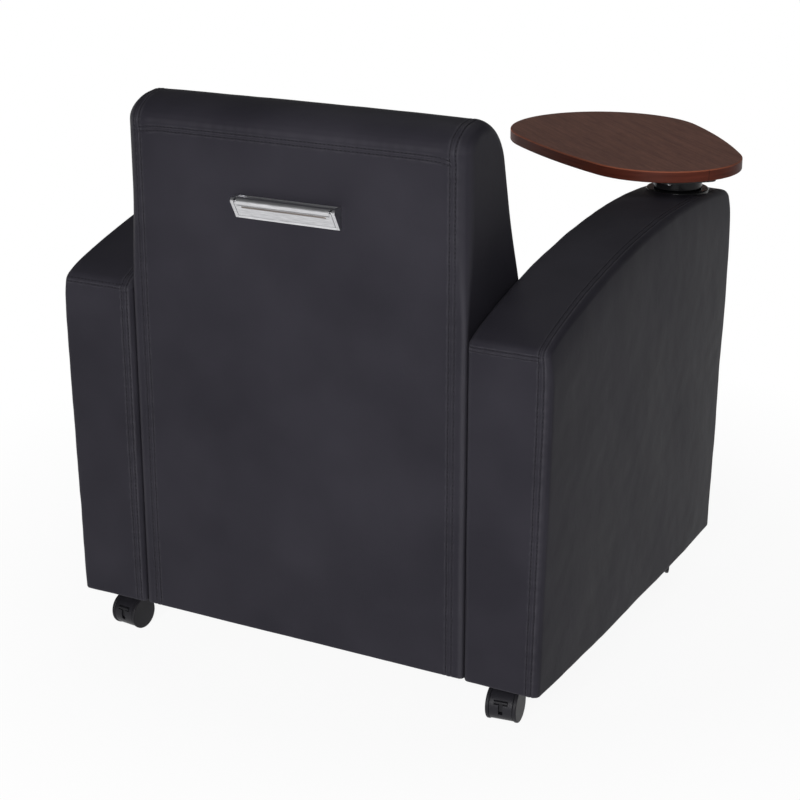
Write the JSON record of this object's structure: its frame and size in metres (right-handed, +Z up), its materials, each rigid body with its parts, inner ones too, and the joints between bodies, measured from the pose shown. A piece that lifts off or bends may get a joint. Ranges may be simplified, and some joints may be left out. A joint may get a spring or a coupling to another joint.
{
  "type": "tablet armchair",
  "caption": "Upholstered lounge armchair with arched arms, a swivelling egg-shaped writing tablet on one arm, a rear pull handle and locking casters.",
  "frame": {"origin": "on the floor, under the middle of the whole chair's box with the tablet in its pictured place", "axes": "+Z up, -Y towards the front of the seat, +X towards the sitter's left"},
  "size_m": [0.8175, 0.9984, 0.849],
  "materials": {
    "black_vinyl": "soft sheen, fine grain",
    "foam": "open-cell polyurethane foam",
    "plywood": "unfinished plywood",
    "softwood": "unfinished softwood",
    "webbing": "woven elastic",
    "spring_steel": "drawn wire",
    "zinc_steel": "bright zinc",
    "black_steel": "black paint",
    "dust_cloth": "non-woven cloth",
    "nylon": "natural nylon",
    "post_plastic": "moulded, glossy",
    "caster_plastic": "moulded, satin",
    "wheel_plastic": "moulded nylon, satin",
    "bright_metal": "bright satin plate",
    "laminate": "dark mahogany laminate, satin",
    "edge_band": "dark mahogany edge band"
  },
  "bodies": {
    "chair": {"frame_bolts": "zinc_steel", "frame_nuts": "zinc_steel", "caster_plates": "zinc_steel", "pivot_socket": "black_steel", "pivot_bushes": "nylon", "frame_screws": "zinc_steel", "pivot_block": "softwood", "pivot_flange": "post_plastic", "left_arm_cover": "black_vinyl", "left_arm_foam": "foam", "left_arm_panels": "plywood", "left_arm_rails": "softwood", "right_arm_cover": "black_vinyl", "right_arm_foam": "foam", "right_arm_panels": "plywood", "right_arm_rails": "softwood", "handle_screws": "zinc_steel", "back_cover": "black_vinyl", "back_foam": "foam", "back_panel": "plywood", "back_frame": "softwood", "back_webbing": "webbing", "seat_cover": "black_vinyl", "seat_foam": "foam", "seat_rails": "softwood", "seat_corner_blocks": "softwood", "seat_springs": "spring_steel", "seat_spring_clips": "zinc_steel", "front_panel_cover": "black_vinyl", "front_panel_foam": "foam", "dust_cover": "dust_cloth", "handle_tray": "bright_metal", "handle_pin": "zinc_steel"},
    "tablet": {"tablet_board": "laminate", "tablet_edge_band": "edge_band", "tablet_plate": "black_steel", "tablet_hub": "post_plastic", "tablet_spindle": "zinc_steel", "tablet_screws": "zinc_steel"},
    "handle_grip": {"handle_grip": "bright_metal"},
    "rear_right_caster": {"rear_right_caster_hood": "caster_plastic", "rear_right_caster_axle": "zinc_steel"},
    "rear_right_left_wheel": {"rear_right_caster_left_wheel": "wheel_plastic"},
    "rear_right_right_wheel": {"rear_right_caster_right_wheel": "wheel_plastic"},
    "rear_right_brake": {"rear_right_caster_brake": "caster_plastic"},
    "rear_left_caster": {"rear_left_caster_hood": "caster_plastic", "rear_left_caster_axle": "zinc_steel"},
    "rear_left_left_wheel": {"rear_left_caster_left_wheel": "wheel_plastic"},
    "rear_left_right_wheel": {"rear_left_caster_right_wheel": "wheel_plastic"},
    "rear_left_brake": {"rear_left_caster_brake": "caster_plastic"},
    "front_right_caster": {"front_right_caster_hood": "caster_plastic", "front_right_caster_axle": "zinc_steel"},
    "front_right_left_wheel": {"front_right_caster_left_wheel": "wheel_plastic"},
    "front_right_right_wheel": {"front_right_caster_right_wheel": "wheel_plastic"},
    "front_right_brake": {"front_right_caster_brake": "caster_plastic"},
    "front_left_caster": {"front_left_caster_hood": "caster_plastic", "front_left_caster_axle": "zinc_steel"},
    "front_left_left_wheel": {"front_left_caster_left_wheel": "wheel_plastic"},
    "front_left_right_wheel": {"front_left_caster_right_wheel": "wheel_plastic"},
    "front_left_brake": {"front_left_caster_brake": "caster_plastic"}
  },
  "joints": [
    {"name": "tablet_swivel", "type": "hinge", "parent": "chair", "child": "tablet", "pos_m": [-0.32762, -0.13225, 0.676], "axis": [0, 0, 1], "continuous": true},
    {"name": "handle_swing", "type": "hinge", "parent": "chair", "child": "handle_grip", "pos_m": [0.00887, 0.49325, 0.72], "axis": [1, 0, 0], "range_deg": [0, 75]},
    {"name": "rear_right_swivel", "type": "hinge", "parent": "chair", "child": "rear_right_caster", "pos_m": [-0.31312, 0.42875, 0.025], "axis": [0, 0, 1], "continuous": true},
    {"name": "rear_right_left_spin", "type": "hinge", "parent": "rear_right_caster", "child": "rear_right_left_wheel", "pos_m": [-0.3152, 0.44562, 0.025], "axis": [0.9925, 0.1219, 0], "continuous": true},
    {"name": "rear_right_right_spin", "type": "hinge", "parent": "rear_right_caster", "child": "rear_right_right_wheel", "pos_m": [-0.3152, 0.44562, 0.025], "axis": [0.9925, 0.1219, 0], "continuous": true},
    {"name": "rear_right_brake_press", "type": "hinge", "parent": "rear_right_caster", "child": "rear_right_brake", "pos_m": [-0.3177, 0.46599, 0.035], "axis": [-0.9925, -0.1219, 0], "range_deg": [0, 10]},
    {"name": "rear_left_swivel", "type": "hinge", "parent": "chair", "child": "rear_left_caster", "pos_m": [0.33087, 0.42875, 0.025], "axis": [0, 0, 1], "continuous": true},
    {"name": "rear_left_left_spin", "type": "hinge", "parent": "rear_left_caster", "child": "rear_left_left_wheel", "pos_m": [0.33265, 0.44566, 0.025], "axis": [0.9945, -0.1045, 0], "continuous": true},
    {"name": "rear_left_right_spin", "type": "hinge", "parent": "rear_left_caster", "child": "rear_left_right_wheel", "pos_m": [0.33265, 0.44566, 0.025], "axis": [0.9945, -0.1045, 0], "continuous": true},
    {"name": "rear_left_brake_press", "type": "hinge", "parent": "rear_left_caster", "child": "rear_left_brake", "pos_m": [0.3348, 0.46606, 0.035], "axis": [-0.9945, 0.1045, 0], "range_deg": [0, 10]},
    {"name": "front_right_swivel", "type": "hinge", "parent": "chair", "child": "front_right_caster", "pos_m": [-0.31312, -0.14625, 0.025], "axis": [0, 0, 1], "continuous": true},
    {"name": "front_right_left_spin", "type": "hinge", "parent": "front_right_caster", "child": "front_right_left_wheel", "pos_m": [-0.32031, -0.13084, 0.025], "axis": [0.9063, 0.4226, 0], "continuous": true},
    {"name": "front_right_right_spin", "type": "hinge", "parent": "front_right_caster", "child": "front_right_right_wheel", "pos_m": [-0.32031, -0.13084, 0.025], "axis": [0.9063, 0.4226, 0], "continuous": true},
    {"name": "front_right_brake_press", "type": "hinge", "parent": "front_right_caster", "child": "front_right_brake", "pos_m": [-0.32898, -0.11225, 0.035], "axis": [-0.9063, -0.4226, 0], "range_deg": [0, 10]},
    {"name": "front_left_swivel", "type": "hinge", "parent": "chair", "child": "front_left_caster", "pos_m": [0.33087, -0.14625, 0.025], "axis": [0, 0, 1], "continuous": true},
    {"name": "front_left_left_spin", "type": "hinge", "parent": "front_left_caster", "child": "front_left_left_wheel", "pos_m": [0.33499, -0.12976, 0.025], "axis": [0.9703, -0.2419, 0], "continuous": true},
    {"name": "front_left_right_spin", "type": "hinge", "parent": "front_left_caster", "child": "front_left_right_wheel", "pos_m": [0.33499, -0.12976, 0.025], "axis": [0.9703, -0.2419, 0], "continuous": true},
    {"name": "front_left_brake_press", "type": "hinge", "parent": "front_left_caster", "child": "front_left_brake", "pos_m": [0.33995, -0.10985, 0.035], "axis": [-0.9703, 0.2419, 0], "range_deg": [0, 10]}
  ]
}
